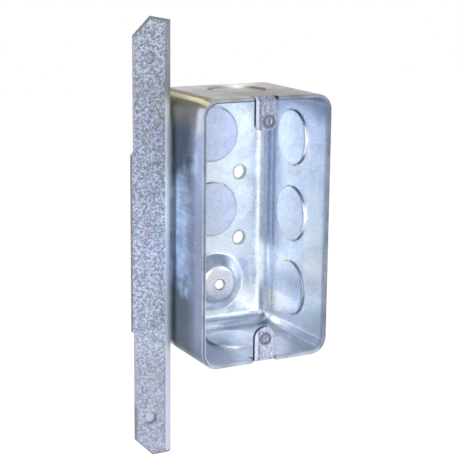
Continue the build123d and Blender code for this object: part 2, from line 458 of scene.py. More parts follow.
# %% Bracket welds
WELD_PITCH = 24.0
WELD_Y = BRACKET_LOW[1] + 10.0
from_weld = radius_about(tree, y, from_nearest(tree, z, WELD_PITCH), (WELD_Y, 0.0))
on_leg = fade(tree, x, -30.2, -29.0)
welded = both(tree, on_leg, fade(tree, maths(tree, "ABSOLUTE", z), 1.5 * WELD_PITCH, 1.5 * WELD_PITCH - 2.0))
straw = both(tree, line(tree, from_weld, 3.3, 0.3, 1.3), welded)
blue = both(tree, line(tree, from_weld, 2.3, 0.2, 0.7), welded)
colour = painted(tree, colour, (straw, 0.55, (0.36, 0.27, 0.17)), (blue, 0.6, (0.12, 0.14, 0.22)))
print("welds", WELD_PITCH, "mm apart")

# %% [markdown]
# ## Bracket zinc: the surface
# Light grains are smoother than dark ones, and the whole strip feels gritty.
# Roughness and height could have patterns of their own, but then shine and tone would drift apart,
# so both come from the speckle that also made the colour.

# %% Bracket surface
rough = changed(tree, 0.56, -0.14, light_share)
grit = noise(tree, place, 0.5 * MM, detail=3.0)
coat(tree, shader, colour, rough, changed(tree, speckle, 0.3, grit), strength=0.5, depth=0.12 * MM)
print("surface on", bracket_zinc.name)

# %% [markdown]
# ## Box zinc: inside and outside of one sheet
# The box is one drawn sheet, so its inside and its outside share one material,
# and only the place tells them apart. A painter would mask the mouth.
# Here the mask is the distance from a core that lies in the hollow:
# it is a little under 5 mm on the inside of a wall and over 6 mm on its outside.

# %% Distance from the core
CORNER_RADIUS = 6.5
CORE = tuple(reach - CORNER_RADIUS for reach in BOX_HIGH)
box_zinc, tree, shader, place = finish_material("box_zinc", metallic=0.8)
spot = in_millimetres(tree, place)
x, y, z = split(tree, spot)
beyond = vector_maths(tree, "SUBTRACT", vector_maths(tree, "ABSOLUTE", spot), CORE)
beyond = vector_maths(tree, "MAXIMUM", beyond, (0.0, 0.0, 0.0))
sheet = vector_maths(tree, "LENGTH", beyond)
inner_face = fade(tree, sheet, 5.5, 5.2)
print("core reaches to %.1f, %.1f, %.1f mm" % CORE)

# %% [markdown]
# The ground boss is pressed into the hollow, so its rear lies as near to the core as an inside does.
# The rear is what lies behind the front of the boss, which is a flat face with a slope round it.

# %% Inside of the sheet
GROUND_PLACE, GROUND_SIZES = mount_sizes("ground_screw")
BOSS_X, SCREW_Y, BOSS_Z = GROUND_PLACE
SHEET = GROUND_SIZES["length_mm"]
BOSS_FACE_Y = SCREW_Y - SHEET / 2
BOSS_FACE_RADIUS = 7.2
BOSS_SLOPE = 0.94
boss_radius = radius_about(tree, x, z, (BOSS_X, BOSS_Z))
past_face = maths(tree, "MAXIMUM", maths(tree, "SUBTRACT", boss_radius, BOSS_FACE_RADIUS), 0.0)
boss_front = changed(tree, BOSS_FACE_Y, BOSS_SLOPE, past_face)
before_boss = fade(tree, maths(tree, "SUBTRACT", y, boss_front), 1.2, 0.7)
near_back = fade(tree, y, 40.0, 41.0)
behind_boss = both(tree, fade(tree, boss_radius, 12.2, 11.6), fade(tree, before_boss, 0.6, 0.4), near_back)
inside = both(tree, inner_face, without(tree, behind_boss))
print("boss face at y = %.1f mm" % BOSS_FACE_Y)

# %% [markdown]
# ## Box zinc: which wall is it
# Light falls on each wall in its own way, so the masks of the walls are needed again and again.
# The direction from the core to a place says which wall it is, and in a rounded corner it turns smoothly
# from one wall to the next.

# %% Wall masks
WALL_STEP = (0.45, 0.9)
facing_side, facing_back, facing_end = split(tree, vector_maths(tree, "NORMALIZE", beyond))
side_wall = fade(tree, facing_side, *WALL_STEP)
back_wall = fade(tree, facing_back, *WALL_STEP)
end_wall = fade(tree, facing_end, *WALL_STEP)
left_half = fade(tree, x, -1.0, -3.0)
right_half = fade(tree, x, 1.0, 3.0)
upper_half = fade(tree, z, 1.0, 3.0)
lower_half = fade(tree, z, -1.0, -3.0)
left_wall = both(tree, side_wall, left_half)
right_wall = both(tree, side_wall, right_half)
top_wall = both(tree, end_wall, upper_half)
print("wall masks on", box_zinc.name)

# %% [markdown]
# ## Box zinc: streaks and blotches
# A die drags along the sheet while it draws the box, which leaves streaks from front to back,
# and the coating dries in soft blotches. Noise that is stretched along the depth makes the streaks.
# Adding both noises to the coordinates frays the border of every patch that is measured in them.

# %% Streaks and blotches
cloud = noise(tree, place, 7.0 * MM, detail=3.0, roughness=0.55)
scuff = noise(tree, stretched(tree, place, (1.0, 0.10, 1.0)), 1.5 * MM, detail=3.0, roughness=0.6)
drift = changed(tree, both(tree, cloud, 10.0), 8.0, scuff)
patch_y = maths(tree, "ADD", y, maths(tree, "SUBTRACT", drift, 9.0))
patch_z = changed(tree, z, 20.0, maths(tree, "SUBTRACT", cloud, 0.5))
worked = fade(tree, changed(tree, both(tree, cloud, 0.6), 0.4, scuff), 0.36, 0.62)
print("streaks on", box_zinc.name)

# %% [markdown]
# ## Box zinc: inside walls
# Bright zinc is nearly white inside the box, where few tools have touched it. The two ends are painted
# greyer as shade, because they mirror each other and little light reaches them. Each wall gets one tone, the
# sides lighter than the back as painted light, and the box is painted a little lighter lower down.

# %% Inside walls
# Painted light and shade: greyer ends, lighter sides, lighter low down, and painted shade deep along the
# side walls.
inner = mixed(tree, side_wall, (0.66, 0.725, 0.79), (0.76, 0.83, 0.97))
inner = mixed(tree, end_wall, inner, (0.385, 0.43, 0.53))
inner = lifted(tree, inner, (fade(tree, z, -8.0, -28.0), 0.12))
deep_side_shade = both(tree, side_wall, line(tree, y, 40.0, 2.5, 6.0))
inner = painted(tree, inner, (deep_side_shade, 0.25, (0.38, 0.45, 0.64)))
print("three wall tones inside")

# %% [markdown]
# ## Box zinc: inner corners
# A drawn corner gathers light like a hollow mirror, with a dark line where it mirrors the shaded mouth
# and a bright one where it mirrors a lamp. A renderer finds such lines only with many bounces
# in the very same room. Here they are painted reflections that follow the turn of the corner, so they stay
# on it from every side.

# %% Inner corners
into_back = fade(tree, facing_back, 0.1, 0.3)
lit_stretch = changed(tree, 1.0, -0.75, line(tree, z, -25.0, 5.0, 13.0))
low_open = both(tree, fade(tree, z, -31.0, -39.0), fade(tree, facing_side, 0.62, 0.80))
corner_shade = both(tree, line(tree, facing_side, 0.52, 0.12, 0.36), into_back)
corner_shade = both(tree, corner_shade, lit_stretch, without(tree, low_open))
corner_highlight = both(tree, back_wall, line(tree, x, 20.7, 0.3, 1.3))
low_corner_shade = both(tree, fade(tree, facing_side, 0.5, 0.75), fade(tree, facing_end, 0.2, 0.42))
low_corner_shade = both(tree, low_corner_shade, lower_half, fade(tree, y, 36.0, 31.0))
# Painted reflections: a dark band and a bright line in the upright back corner, a dark band in the lower
# right corner.
inner = painted(
    tree,
    inner,
    (corner_shade, 0.88, (0.17, 0.205, 0.27)),
    (corner_highlight, 0.8, (0.95, 0.98, 0.98)),
    (low_corner_shade, 0.75, (0.24, 0.29, 0.385)),
)
print("corner lines inside")

# %% [markdown]
# The turn from the back wall into the bottom is the same kind of corner, with painted reflections: a dark
# line, a glint above it and a light strip below it, which is weaker towards the right.

# %% Foot of the back wall
foot = both(tree, into_back, lower_half)
early_shade_line = both(tree, line(tree, facing_end, 0.34, 0.16, 0.25), fade(tree, x, 15.0, 19.0))
foot_shade_line = either(tree, line(tree, facing_end, 0.45, 0.12, 0.26), early_shade_line)
foot_shade_line = both(tree, foot, foot_shade_line, fade(tree, facing_side, 0.5, 0.2))
foot_glint = both(tree, back_wall, fade(tree, z, -41.5, -43.5), fade(tree, facing_end, 0.24, 0.12))
foot_glint = both(tree, foot_glint, fade(tree, x, 14.0, 8.0))
foot_light = both(tree, foot, fade(tree, facing_end, 0.55, 0.7))
foot_light_tone = mixed(tree, fade(tree, x, 4.0, 12.0), (0.97, 0.99, 1.0), (0.62, 0.70, 0.84))
# Painted shade line, painted glint and painted light strip at the foot of the back wall.
inner = painted(
    tree,
    inner,
    (foot_shade_line, 0.85, (0.21, 0.26, 0.35)),
    (foot_glint, 0.9, (1.0, 1.0, 0.99)),
    (foot_light, 0.9, foot_light_tone),
)
print("foot of the back wall")

# %% [markdown]
# ## Box zinc: light and shade inside
# The walls of the box mirror each other, so painted light patches and dull patches of painted shade lie
# where another wall is seen.
# They are broad and soft. Each one is placed by two or three soft steps along the wall,
# first round the ground boss and in the lower corner.

# %% Low light inside
dull_reflection = both(tree, back_wall, line(tree, x, 14.0, 1.5, 4.0), line(tree, z, -27.0, 4.0, 8.0))
boss_shade_halo = both(tree, back_wall, line(tree, boss_radius, 14.0, 1.2, 3.0))
boss_shade_halo = both(tree, boss_shade_halo, fade(tree, x, 5.0, 9.0), fade(tree, z, -24.0, -28.0))
lit_bottom_back = both(tree, end_wall, lower_half, fade(tree, y, 28.0, 37.0), fade(tree, x, 23.0, 17.0))
lit_corner = both(tree, back_wall, line(tree, x, 16.0, 3.0, 7.0))
lit_corner = both(tree, lit_corner, fade(tree, z, -30.0, -38.0), fade(tree, z, -44.5, -42.5))
# Painted reflections: shade beside the boss and round its upper right, light on the back of the bottom and
# low on the back wall.
inner = painted(
    tree,
    inner,
    (either(tree, dull_reflection, boss_shade_halo), 0.6, (0.42, 0.50, 0.66)),
    (lit_bottom_back, 0.8, (0.80, 0.88, 1.0)),
    (lit_corner, 0.8, (0.98, 0.99, 0.97)),
)
print("light round the boss")

# %% [markdown]
# The right wall faces the stronger lamp. Painted light makes the middle of its front lighter, painted shade
# darkens it under the top, and its lip is painted dark, because the mouth's edge turns away there. Painted
# shade also lies along the back of the top.

# %% Right wall inside
shade_under_top = both(tree, fade(tree, facing_back, 0.5, 0.2), fade(tree, x, 4.0, 8.0), fade(tree, z, 38.0, 46.0))
back_shade = both(tree, right_wall, fade(tree, y, 27.0, 35.0), fade(tree, z, 37.0, 43.0))
front_light = both(tree, right_wall, line(tree, y, 9.0, 4.0, 9.0), line(tree, z, -7.0, 16.0, 26.0))
front_shade = both(tree, right_wall, fade(tree, y, 14.0, 6.0), fade(tree, z, 36.0, 43.0))
right_lip_shade = both(tree, right_wall, fade(tree, y, 2.4, 0.8))
top_back_shade = both(tree, end_wall, line(tree, y, 38.0, 2.0, 6.0), fade(tree, x, 20.0, 8.0), upper_half)
# Painted shade under the top and at the back of the right wall, then painted light on its front and painted
# shade at its front top, its lip and the back of the top.
inner = painted(tree, inner, (shade_under_top, 0.75, (0.23, 0.29, 0.44)), (back_shade, 0.6, (0.28, 0.35, 0.52)))
inner = lifted(tree, inner, (front_light, 0.22))
inner = painted(
    tree,
    inner,
    (front_shade, 0.6, (0.30, 0.36, 0.50)),
    (right_lip_shade, 0.6, (0.26, 0.29, 0.36)),
    (top_back_shade, 0.25, (0.20, 0.25, 0.34)),
)
print("inside finished")

# %% [markdown]
# ## Box zinc: the left wall
# Outside, the die has rubbed the zinc darker in frayed patches and drawn scuffs along the walls.
# On the left wall light and shade are painted: a light strip between two patches of painted shade, and a
# painted shadow in the gap beside the bracket.
# Painted strokes would do, but the frayed coordinates give the same borders without drawing each one.

# %% Left wall tones
outer = mixed(tree, worked, (0.36, 0.41, 0.48), (0.60, 0.66, 0.77))
# Painted light: the strip at the rim is lighter higher up, and the strip behind it is a painted reflection.
lit_rim_strip = mixed(tree, fade(tree, z, 28.0, 0.0), (0.60, 0.68, 0.90), (0.40, 0.465, 0.60))
lit_rim_strip = mixed(tree, fade(tree, z, -34.0, -46.0), lit_rim_strip, (0.30, 0.355, 0.455))
reflected_light_strip = mixed(tree, worked, (0.36, 0.45, 0.61), (0.59, 0.71, 0.89))
left_tone = mixed(tree, fade(tree, patch_y, 5.0, 12.0), lit_rim_strip, reflected_light_strip)
# Painted light and shade bands along the left wall, and a painted light patch near its top.
lit_band = line(tree, y, 18.5, 1.5, 5.5)
shade_band = line(tree, y, 9.5, 1.0, 4.5)
lit_patch = both(tree, line(tree, y, 10.0, 3.0, 7.0), line(tree, z, 27.0, 2.0, 6.0))
left_tone = lifted(tree, left_tone, (lit_band, 0.22), (shade_band, -0.27), (lit_patch, 0.5))
print("strips on the left wall")

# %% [markdown]
# Over these strips come patches of painted shade above and below, a painted shadow line in front of the
# bracket, a painted light strip behind it and a painted glint near the rim.

# %% Left wall wear
shaded_patches = either(tree, fade(tree, patch_z, 14.0, 26.0), fade(tree, patch_z, -16.0, -28.0))
shaded_patches = both(tree, shaded_patches, fade(tree, patch_y, 4.0, 14.0))
shaded_patch_tone = mixed(tree, fade(tree, z, 5.0, -15.0), (0.095, 0.13, 0.19), (0.17, 0.20, 0.23))
bracket_shadow_line = line(tree, y, 24.2, 0.8, 2.5)
lit_beside_bracket = fade(tree, y, 25.8, 27.6)
beside_share = changed(tree, 0.9, -0.5, line(tree, z, -1.0, 8.0, 13.0))
glint = both(tree, line(tree, y, 3.2, 1.4, 3.4), line(tree, z, 43.5, 3.0, 7.0))
# Painted shade patches, painted shadow line, painted light strip and painted glint on the left wall.
left_tone = painted(
    tree,
    left_tone,
    (shaded_patches, 1.0, shaded_patch_tone),
    (bracket_shadow_line, 0.68, (0.06, 0.07, 0.09)),
    (lit_beside_bracket, beside_share, (0.76, 0.81, 0.89)),
    (glint, 0.9, (0.97, 0.98, 1.0)),
)
outer = mixed(tree, left_wall, outer, left_tone)
print("wear on the left wall")

# %% [markdown]
# ## Box zinc: the top
# The clear yellow coat over the zinc shows best on the top, as a khaki tone with stains.
# It could be a second glossy layer. A plain tint is enough, because the coat is thin and dull.

# %% Top wall
stain = noise(tree, place, 12.0 * MM, detail=3.0, roughness=0.6)
khaki = mixed(tree, fade(tree, cloud, 0.35, 0.65), (0.33, 0.30, 0.34), (0.47, 0.445, 0.43))
khaki = painted(tree, khaki, (fade(tree, stain, 0.48, 0.62), 0.7, (0.33, 0.32, 0.21)))
# Painted shade darkens the middle of the front of the top, and painted light lightens its back.
top_front_shade = both(tree, line(tree, x, 4.0, 5.0, 18.0), fade(tree, y, 28.0, 10.0))
khaki = lifted(tree, khaki, (top_front_shade, -0.38), (fade(tree, y, 24.0, 36.0), 0.25))
outer = mixed(tree, top_wall, outer, khaki)
print("coat on the top")

# %% [markdown]
# On the bend between the left wall and the top the coat shows a painted yellow highlight line
# with painted olive shade round it. The line follows the turn of the bend and droops a little towards the
# rim.

# %% Top left bend
top_left = both(tree, left_half, upper_half)
on_bend = both(tree, top_left, fade(tree, facing_side, 0.25, 0.45), fade(tree, patch_y, 40.0, 26.0))
warm = both(tree, left_half, fade(tree, z, 36.0, 45.0), fade(tree, facing_side, 0.5, 0.8))
warm = both(tree, warm, fade(tree, y, 3.0, 7.0))
olive_shade = both(tree, line(tree, facing_end, 0.72, 0.16, 0.28), on_bend)
shade_over_highlight = both(tree, line(tree, facing_side, 0.32, 0.10, 0.24), fade(tree, facing_end, 0.5, 0.8))
shade_over_highlight = both(tree, shade_over_highlight, top_left, fade(tree, y, 1.0, 5.0))
droop = changed(tree, 0.80, -0.06, fade(tree, y, 9.0, 1.0))
yellow_highlight = both(tree, line(tree, facing_end, droop, 0.05, 0.13), on_bend)
yellow_highlight_tone = mixed(tree, fade(tree, y, 13.0, 24.0), (1.0, 0.95, 0.62), (0.66, 0.60, 0.40))
# Painted olive shade, painted shade above the line and a painted yellow highlight on the top-left bend.
outer = painted(
    tree,
    outer,
    (warm, 0.8, (0.30, 0.28, 0.24)),
    (olive_shade, 0.8, (0.35, 0.31, 0.13)),
    (shade_over_highlight, 0.85, (0.16, 0.14, 0.085)),
    (yellow_highlight, 1.0, yellow_highlight_tone),
)
colour = mixed(tree, inside, outer, inner)
print("outside finished")

# %% [markdown]
# ## Box zinc: knockouts
# Each knockout slug is sheared almost free, which leaves a dark torn line round it, deepened by painted
# shade.
# The groove is in the solid. Its tone could be assigned face by face, but the distance from the nearest
# knockout axis finds slugs and lines on every wall at once. On a wall without that knockout it is made far.

# %% Distance from the knockouts
KNOCKOUT_PLACE, KNOCKOUT_SIZES = mount_sizes("side_knockouts")
KNOCKOUT_Y = KNOCKOUT_PLACE[1]
KNOCKOUT_PITCH = KNOCKOUT_SIZES["spacing_y_mm"]
KNOCKOUT_RADIUS = KNOCKOUT_SIZES["hole_r_mm"]
BOSS_ROW_TOP = -KNOCKOUT_PITCH / 2
FAR = 100.0
from_row = from_nearest(tree, z, KNOCKOUT_PITCH)
side_radius = radius_about(tree, y, from_row, (KNOCKOUT_Y, 0.0))
back_radius = radius_about(tree, x, from_row)
end_radius = radius_about(tree, x, y, (0.0, KNOCKOUT_Y))
on_back = both(tree, back_wall, fade(tree, z, BOSS_ROW_TOP - 0.1, BOSS_ROW_TOP + 0.1))
slug_radius = FAR
for radius, wall in ((side_radius, right_wall), (back_radius, on_back), (end_radius, end_wall)):
    elsewhere = changed(tree, FAR, -FAR, wall)
    slug_radius = maths(tree, "MINIMUM", slug_radius, maths(tree, "ADD", radius, elsewhere))
slug = fade(tree, slug_radius, KNOCKOUT_RADIUS, KNOCKOUT_RADIUS - 0.4)
torn = line(tree, slug_radius, KNOCKOUT_RADIUS - 0.1, 0.15, 0.75)
print("knockouts of", KNOCKOUT_RADIUS, "mm radius,", KNOCKOUT_PITCH, "mm apart")

# %% [markdown]
# A pressed slug doesn't lie quite level with its wall, so it catches the light in its own way, and that
# light is painted:
# those on the right are lighter than the wall, those on the back are duller and those on the ends lighter.
# Low on the right, painted white patches stand for the stronger lamp's light, and the wall behind the upper
# slugs gets painted shade.

# %% Slugs
inside_right = both(tree, inside, right_wall)
slug_share = changed(tree, 0.35, -0.2, fade(tree, z, 10.0, 20.0))
wall_shade = both(tree, inside_right, changed(tree, 1.0, -0.75, slug))
wall_shade = both(tree, wall_shade, fade(tree, y, 29.0, 37.0), fade(tree, z, -19.0, -14.0))
shaded_slug = both(tree, slug, inside_right, line(tree, z, -30.5, 2.5, 6.5))
lit_slug = both(tree, inside_right, line(tree, z, -40.0, 4.0, 6.5), fade(tree, y, 20.0, 27.0))
lit_arc = both(tree, inside_right, line(tree, slug_radius, KNOCKOUT_RADIUS + 0.8, 0.8, 2.5))
lit_arc = both(tree, lit_arc, line(tree, z, -22.0, 2.0, 6.0), fade(tree, y, 20.0, 26.0))
deep_light = both(tree, inside, right_half, fade(tree, facing_side, 0.66, 0.84))
deep_light = both(tree, deep_light, fade(tree, y, 31.0, 36.0), line(tree, z, -42.0, 5.0, 8.0))
lit_end_slug = both(tree, slug, inside, end_wall, fade(tree, y, 20.0, 29.0))
# Painted light and shade on the slugs and round them, with painted white patches low on the right.
colour = painted(
    tree,
    colour,
    (both(tree, slug, inside_right), slug_share, (0.82, 0.89, 0.96)),
    (wall_shade, 0.65, (0.40, 0.47, 0.66)),
    (shaded_slug, 0.4, (0.42, 0.50, 0.70)),
    (either(tree, lit_slug, lit_arc, deep_light), 0.85, (1.0, 1.0, 0.99)),
    (both(tree, slug, inside, on_back), 0.8, (0.47, 0.53, 0.70)),
    (lit_end_slug, 0.45, (0.72, 0.79, 0.90)),
)
print("slugs on the right, the back and both ends")

# %% [markdown]
# The torn line's painted shade is strong on one side of a slug and weak on the other, where light falls into
# the groove.

# %% Torn lines
soft_line = both(tree, end_wall, either(tree, inside, fade(tree, y, 28.0, 34.0)))
lit_side = both(tree, right_wall, fade(tree, y, 22.0, 27.0))
lit_side = either(tree, lit_side, both(tree, top_wall, fade(tree, x, 6.0, 11.0)))
torn_share = 0.45
for mask, change in ((top_wall, -0.15), (soft_line, -0.25), (both(tree, on_back, inside), -0.18)):
    torn_share = changed(tree, torn_share, change, mask)
torn_share = both(tree, torn_share, changed(tree, 1.0, -0.8, lit_side))
# The torn line: a shear line with painted shade, weaker on the lit side.
colour = painted(tree, colour, (torn, torn_share, (0.10, 0.12, 0.17)))
print("torn lines round the slugs")

# %% [markdown]
# ## Box zinc: holes, glare and edge light
# The screw holes in the back have a dull brown ring. The rear bend of the top gets a painted white glare,
# the right slugs a painted shadow line inside their edge, and the front edges of the slugs a painted
# highlight.
# Distances from these holes and edges place the tones,
# and the stain noise makes the border of the glare uneven.

# %% Holes, glare and edge light
HOLES_PLACE, HOLES_SIZES = mount_sizes("back_holes")
HOLE_ASIDE = HOLES_SIZES["spacing_x_mm"] / 2
HOLE_RISE = HOLES_SIZES["spacing_y_mm"] / 2
HOLE_RADIUS = HOLES_SIZES["hole_r_mm"]
from_level = distance(tree, z, HOLES_PLACE[2])
from_hole = radius_about(tree, maths(tree, "ABSOLUTE", x), from_level, (HOLE_ASIDE, HOLE_RISE))
hole_ring = both(tree, back_wall, line(tree, from_hole, HOLE_RADIUS + 0.1, 0.2, 0.9))
from_glare = radius_about(tree, x, maths(tree, "MULTIPLY", y, 1.5), (6.5, 56.0))
from_glare = changed(tree, from_glare, 14.0, maths(tree, "SUBTRACT", stain, 0.5))
bend_glare = both(tree, fade(tree, from_glare, 10.0, 3.0), fade(tree, z, 44.0, 48.0))
bend_glare = both(tree, bend_glare, fade(tree, inside, 0.6, 0.4))
slug_step_shadow = line(tree, slug_radius, KNOCKOUT_RADIUS - 1.1, 0.3, 0.8)
slug_step_shadow = both(tree, slug_step_shadow, inside_right, fade(tree, y, 19.0, 17.0))
side_glint = both(tree, right_wall, fade(tree, y, 17.4, 15.8), fade(tree, z, -16.0, -14.0))
end_glint = both(tree, end_wall, inside, fade(tree, y, 24.0, 17.0))
# A brown ring round each back hole, then painted glare on the top bend, a painted shadow line in the right
# slugs and painted highlights on the slugs' front edges.
colour = painted(
    tree,
    colour,
    (hole_ring, 0.6, (0.20, 0.19, 0.15)),
    (bend_glare, 0.9, (0.95, 0.95, 0.94)),
    (slug_step_shadow, 0.5, (0.28, 0.33, 0.43)),
    (torn, either(tree, side_glint, end_glint), (0.95, 0.97, 1.0)),
)
print("rings round screw holes of", HOLE_RADIUS, "mm radius")

# %% [markdown]
# ## Box zinc: the ground boss
# The boss is pressed up out of the back wall. Painted shade darkens its upper left and lower slopes and the
# lower part of its flat face, and a painted highlight lightens the slopes on the right, where they face the
# weaker lamp. Its shape is in the solid, so only tones are added, by the distance from its axis.

# %% Ground boss
on_boss = both(tree, inside, near_back, fade(tree, boss_radius, 13.8, 12.8))
boss_face = both(tree, on_boss, fade(tree, boss_radius, 8.0, 6.0))
boss_face_tone_and_shade = mixed(tree, fade(tree, z, BOSS_Z + 1.0, BOSS_Z - 7.0), (0.68, 0.685, 0.75), (0.42, 0.45, 0.54))
slope = both(tree, on_boss, line(tree, boss_radius, 10.4, 2.3, 3.3))
upper_slope_shade = both(tree, slope, fade(tree, z, BOSS_Z + 2.0, BOSS_Z + 6.0), fade(tree, x, 1.0, -4.0))
lower_slope_shade = both(tree, slope, fade(tree, z, BOSS_Z - 2.0, BOSS_Z - 6.0), fade(tree, boss_radius, 9.5, 7.5))
right_slope_light = both(tree, slope, fade(tree, x, 5.0, 9.0))
# Painted shade on the boss face and its upper and lower slopes, painted light on its right slope.
colour = painted(
    tree,
    colour,
    (boss_face, 0.75, boss_face_tone_and_shade),
    (upper_slope_shade, 0.7, (0.28, 0.34, 0.46)),
    (lower_slope_shade, 0.5, (0.30, 0.36, 0.48)),
    (right_slope_light, 0.8, (0.95, 0.98, 1.0)),
)
print("boss at x = %.1f, z = %.1f mm" % (BOSS_X, BOSS_Z))

# %% [markdown]
# ## Box zinc: the rim
# The rim shows the cut edge of the sheet, grey and dull; its painted light and shade differ on each wall,
# with a painted glint on the left.
# A thin strip of faces could take a material of its own. One soft step at the mouth is enough,
# since nothing else of the box lies so far forward except the ears, which are painted after it.

# %% Rim
cut_edge = fade(tree, y, 0.45, 0.15)
rim_edge_and_shade = mixed(tree, fade(tree, z, 50.0, -40.0), (0.26, 0.29, 0.38), (0.30, 0.33, 0.42))
rim_glint = both(tree, left_wall, inner_face, fade(tree, z, -18.0, -26.0))
# Painted light and shade on the rim: lighter at the bottom and on the left, dark on the right, with a
# painted glint low on the left.
rim_edge_and_shade = painted(
    tree,
    rim_edge_and_shade,
    (fade(tree, z, -44.0, -49.0), 1.0, (0.40, 0.44, 0.53)),
    (left_wall, 0.6, (0.46, 0.53, 0.73)),
    (right_wall, 0.7, (0.15, 0.165, 0.20)),
    (both(tree, top_wall, fade(tree, x, -6.0, -10.0)), 0.6, (0.36, 0.385, 0.42)),
    (both(tree, top_wall, fade(tree, x, 2.0, 8.0)), 0.2, (0.15, 0.18, 0.25)),
    (rim_glint, 0.8, (0.85, 0.90, 0.98)),
)
print("rim tones on", box_zinc.name)

# %% [markdown]
# A thin line of painted shade runs along the rim beside the lighter edge:
# in the middle of the left edge, outside on the right one and inside on the top one.

# %% Painted shade along the rim
left_rim_shade = both(tree, left_wall, line(tree, sheet, 5.75, 0.2, 0.6))
right_rim_shade = both(tree, right_wall, fade(tree, sheet, 5.8, 6.4))
top_share = changed(tree, 0.3, 0.7, fade(tree, x, -5.0, -8.0))
top_rim_shade = both(tree, top_wall, fade(tree, sheet, 5.7, 5.0), top_share)
corner_rim_shade = both(tree, top_left, line(tree, facing_side, 0.7, 0.25, 0.5))
corner_rim_shade = both(tree, corner_rim_shade, fade(tree, facing_end, 0.1, 0.3), fade(tree, sheet, 5.9, 5.4))
rim_shade_line = either(tree, left_rim_shade, right_rim_shade, top_rim_shade, corner_rim_shade)
# Painted shade: a thin dark line along the rim.
rim_edge_and_shade = painted(tree, rim_edge_and_shade, (rim_shade_line, 0.8, (0.07, 0.075, 0.09)))
rim_edge_and_shade = scaled(tree, rim_edge_and_shade, changed(tree, 0.8, 0.4, fade(tree, cloud, 0.3, 0.7)))
colour = painted(tree, colour, (cut_edge, 0.9, rim_edge_and_shade))
print("burr along the rim")

# %% [markdown]
# ## Box zinc: the ears
# The ears are folded in from the top and bottom walls, then struck flat and tapped,
# so they are duller and more speckled than the walls.
# They lie a little to the left of their screws, the upper one more than the lower one.
# Distances from the middle of an ear give a painted highlight strip along its left edge and a dark line
# beside it, and the upper ear is painted darker as shade.

# %% Ears
EAR_HALF_WIDTH = 4.2
TOP_EAR_ASIDE = -1.2
BOTTOM_EAR_ASIDE = -0.4
ear_middle = changed(tree, BOTTOM_EAR_ASIDE, TOP_EAR_ASIDE - BOTTOM_EAR_ASIDE, upper_half)
ear_x = maths(tree, "SUBTRACT", x, ear_middle)
across = maths(tree, "ABSOLUTE", ear_x)
ear = both(tree, fade(tree, across, EAR_HALF_WIDTH + 0.3, EAR_HALF_WIDTH + 0.1), fade(tree, y, 2.3, 1.7))
fine = noise(tree, place, 1.1 * MM, detail=3.0, roughness=0.6)
ear_speckle_and_shade = mixed(tree, fade(tree, fine, 0.33, 0.67), (0.30, 0.33, 0.46), (0.59, 0.64, 0.82))
ear_speckle_and_shade = lifted(tree, ear_speckle_and_shade, (upper_half, -0.28))
ear_edge_highlight = both(tree, ear, fade(tree, ear_x, -2.9, -3.3))
ear_dark_line = both(tree, ear, line(tree, ear_x, -2.3, 0.1, 0.6))
# Speckled ears with painted shade on the upper one, a painted highlight along the left edge and a dark line
# beside it.
colour = painted(
    tree,
    colour,
    (ear, 1.0, ear_speckle_and_shade),
    (ear_edge_highlight, 0.7, (0.70, 0.74, 0.90)),
    (ear_dark_line, 0.6, (0.16, 0.16, 0.22)),
)
print("ears", 2 * EAR_HALF_WIDTH, "mm wide")

# %% [markdown]
# The cut sides of an ear and the round end of the lower one are painted dark as shade,
# and a ring round each screw hole is dark.

# %% Ear edges and screw rings
EAR_SIZES = mount_sizes("device_ears")[1]
SCREW_HALF_SPAN = EAR_SIZES["spacing_y_mm"] / 2
ARCH_Z = -41.3
behind_front = fade(tree, y, 0.1, 0.3)
shaded_cut_side = fade(tree, across, EAR_HALF_WIDTH - 0.12, EAR_HALF_WIDTH - 0.04)
from_arch = radius_about(tree, ear_x, z, (0.0, ARCH_Z))
cut_arch = both(tree, fade(tree, from_arch, EAR_HALF_WIDTH - 0.2, EAR_HALF_WIDTH - 0.05), lower_half)
cut_arch = both(tree, cut_arch, fade(tree, z, ARCH_Z - 0.3, ARCH_Z))
shaded_cut_side = both(tree, ear, behind_front, either(tree, shaded_cut_side, cut_arch))
from_screw = radius_about(tree, x, maths(tree, "ABSOLUTE", z), (0.0, SCREW_HALF_SPAN))
screw_ring = both(tree, ear, fade(tree, from_screw, 2.9, 2.2))
# Painted shade on the cut sides of the ears, and a dark ring round each screw hole.
colour = painted(
    tree,
    colour,
    (shaded_cut_side, 0.85, (0.07, 0.075, 0.10)),
    (screw_ring, 0.8, (0.10, 0.10, 0.14)),
)
print("ear screws", 2 * SCREW_HALF_SPAN, "mm apart")

# %% [markdown]
# ## Box zinc: the surface
# Zinc freezes in flat crystals, which show as faint facets, and the drawn sheet is slightly wavy.
# Real waves would need a very fine mesh. Low bump is enough, since they are a fraction of a millimetre deep.
# Ears, torn lines and the cut edge are rougher than the rest.

# %% Box surface
spangle = grains(tree, place, 2.2 * MM)
grain_tone = changed(tree, changed(tree, 0.79, 0.36, fine), 0.07, spangle)
streak_tone = changed(tree, 0.92, 0.16, scuff)
colour = scaled(tree, colour, both(tree, grain_tone, streak_tone))
rough = changed(tree, changed(tree, 0.28, 0.20, fine), -0.08, inside)
rough = changed(tree, rough, 0.2, either(tree, ear, torn, cut_edge))
ripple = noise(tree, place, 7.0 * MM, detail=1.0)
pimple = noise(tree, place, 1.3 * MM, detail=0.0)
coat(tree, shader, colour, rough, changed(tree, ripple, 0.04, pimple), strength=0.6, depth=0.35 * MM)

for node, material in (("box_shell", box_zinc), ("mounting_bracket", bracket_zinc)):
    shown = frame["nodes"][node]
    shown.data.materials.clear()
    shown.data.materials.append(material)
    print(material.name, "on", node)

# %% [markdown]
# ## Screw threads
# The two ear holes and the ground hole are tapped, which shows as a dark ring round a narrower opening.
# A screw modifier could wind a profile, but the winding is a plain formula:
# a small triangle carried along a helix.
# Its sizes are set as shares of the pitch and of the depth, so a coarser thread needs only two new values.

